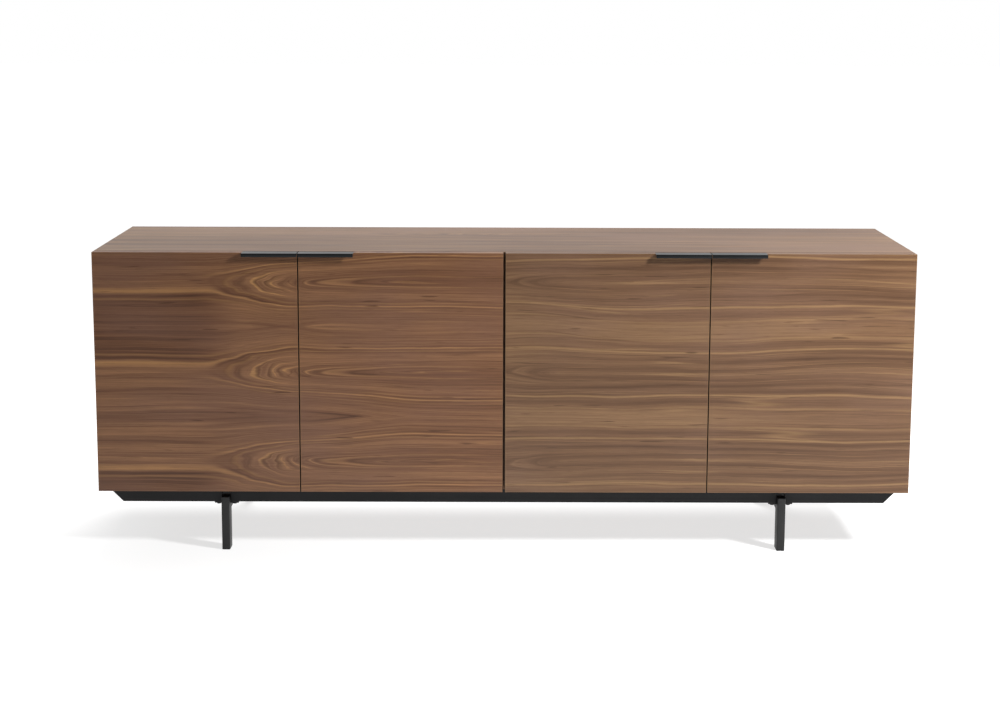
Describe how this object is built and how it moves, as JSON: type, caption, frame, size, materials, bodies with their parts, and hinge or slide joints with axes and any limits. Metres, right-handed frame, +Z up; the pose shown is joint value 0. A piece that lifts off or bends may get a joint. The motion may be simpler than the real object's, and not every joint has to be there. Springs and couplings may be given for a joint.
{
  "type": "sideboard",
  "caption": "Long low sideboard in wood veneer with plain hinged doors, slim bent-metal edge pulls, inner shelves, a recessed plinth and metal leg frames.",
  "frame": {"origin": "on the floor under the middle of the whole piece, handles included", "axes": "+X to the right seen from the front, -Y towards the front, +Z up"},
  "size_m": [2, 0.4646, 0.75],
  "materials": {
    "walnut": "satin lacquered veneer",
    "charcoal_board": "satin charcoal lacquer",
    "beech": "plain",
    "dark_steel": "satin powder coat",
    "dark_screw": "black",
    "nickel": "nickel plated",
    "zinc_steel": "zinc plated",
    "clear_rubber": "soft clear",
    "black_plastic": "matte"
  },
  "bodies": {
    "carcass": {"top_panel": "walnut", "bottom_panel": "walnut", "left_side_panel": "walnut", "right_side_panel": "walnut", "centre_partition": "walnut", "back_panel": "walnut", "back_panel_screws": "zinc_steel", "left_shelf": "walnut", "right_shelf": "walnut", "shelf_pins": "zinc_steel", "partition_dowels": "beech", "plinth_front_rail": "charcoal_board", "plinth_back_rail": "charcoal_board", "plinth_left_end": "charcoal_board", "plinth_right_end": "charcoal_board", "plinth_dowels": "beech", "left_leg_frame": "dark_steel", "right_leg_frame": "dark_steel", "leg_screws": "dark_screw", "foot_glides": "black_plastic", "side_hinge_arms": "nickel", "partition_hinge_arms": "nickel", "hinge_mounting_plates": "nickel", "hinge_plate_screws": "nickel", "hinge_arm_pins": "nickel"},
    "left_outer_leaf": {"left_outer_door": "walnut", "left_outer_door_handle": "dark_steel", "left_outer_door_handle_screws": "dark_screw", "left_outer_door_bumpers": "clear_rubber", "left_outer_door_hinge_cups": "nickel", "left_outer_door_cup_screws": "nickel", "left_outer_door_cup_pins": "nickel"},
    "left_outer_links": {"left_outer_door_hinge_links": "nickel"},
    "left_inner_leaf": {"left_inner_door": "walnut", "left_inner_door_handle": "dark_steel", "left_inner_door_handle_screws": "dark_screw", "left_inner_door_bumpers": "clear_rubber", "left_inner_door_hinge_cups": "nickel", "left_inner_door_cup_screws": "nickel", "left_inner_door_cup_pins": "nickel"},
    "left_inner_links": {"left_inner_door_hinge_links": "nickel"},
    "right_inner_leaf": {"right_inner_door": "walnut", "right_inner_door_handle": "dark_steel", "right_inner_door_handle_screws": "dark_screw", "right_inner_door_bumpers": "clear_rubber", "right_inner_door_hinge_cups": "nickel", "right_inner_door_cup_screws": "nickel", "right_inner_door_cup_pins": "nickel"},
    "right_inner_links": {"right_inner_door_hinge_links": "nickel"},
    "right_outer_leaf": {"right_outer_door": "walnut", "right_outer_door_handle": "dark_steel", "right_outer_door_handle_screws": "dark_screw", "right_outer_door_bumpers": "clear_rubber", "right_outer_door_hinge_cups": "nickel", "right_outer_door_cup_screws": "nickel", "right_outer_door_cup_pins": "nickel"},
    "right_outer_links": {"right_outer_door_hinge_links": "nickel"}
  },
  "joints": [
    {"name": "left_outer_link_turn", "type": "hinge", "parent": "carcass", "child": "left_outer_links", "pos_m": [-0.9575, -0.18275, 0.4515], "axis": [0, 0, -1], "range_deg": [-46.3, 0]},
    {"name": "left_outer_door_turn", "type": "hinge", "parent": "left_outer_links", "child": "left_outer_leaf", "pos_m": [-0.9848, -0.20105, 0.4515], "axis": [0, 0, -1], "range_deg": [0, 151.2]},
    {"name": "left_inner_link_turn", "type": "hinge", "parent": "carcass", "child": "left_inner_links", "pos_m": [-0.045, -0.18275, 0.4515], "axis": [0, 0, 1], "range_deg": [-38, 0]},
    {"name": "left_inner_door_turn", "type": "hinge", "parent": "left_inner_links", "child": "left_inner_leaf", "pos_m": [-0.0177, -0.20105, 0.4515], "axis": [0, 0, 1], "range_deg": [0, 123.84]},
    {"name": "right_inner_link_turn", "type": "hinge", "parent": "carcass", "child": "right_inner_links", "pos_m": [0.045, -0.18275, 0.4515], "axis": [0, 0, -1], "range_deg": [-38, 0]},
    {"name": "right_inner_door_turn", "type": "hinge", "parent": "right_inner_links", "child": "right_inner_leaf", "pos_m": [0.0177, -0.20105, 0.4515], "axis": [0, 0, -1], "range_deg": [0, 123.84]},
    {"name": "right_outer_link_turn", "type": "hinge", "parent": "carcass", "child": "right_outer_links", "pos_m": [0.9575, -0.18275, 0.4515], "axis": [0, 0, 1], "range_deg": [-46.3, 0]},
    {"name": "right_outer_door_turn", "type": "hinge", "parent": "right_outer_links", "child": "right_outer_leaf", "pos_m": [0.9848, -0.20105, 0.4515], "axis": [0, 0, 1], "range_deg": [0, 151.2]}
  ],
  "couplings": [
    {"joint": "left_outer_link_turn", "follows": "left_outer_door_turn", "ratio": -0.30556},
    {"joint": "left_inner_link_turn", "follows": "left_inner_door_turn", "ratio": -0.30556},
    {"joint": "right_inner_link_turn", "follows": "right_inner_door_turn", "ratio": -0.30556},
    {"joint": "right_outer_link_turn", "follows": "right_outer_door_turn", "ratio": -0.30556}
  ]
}
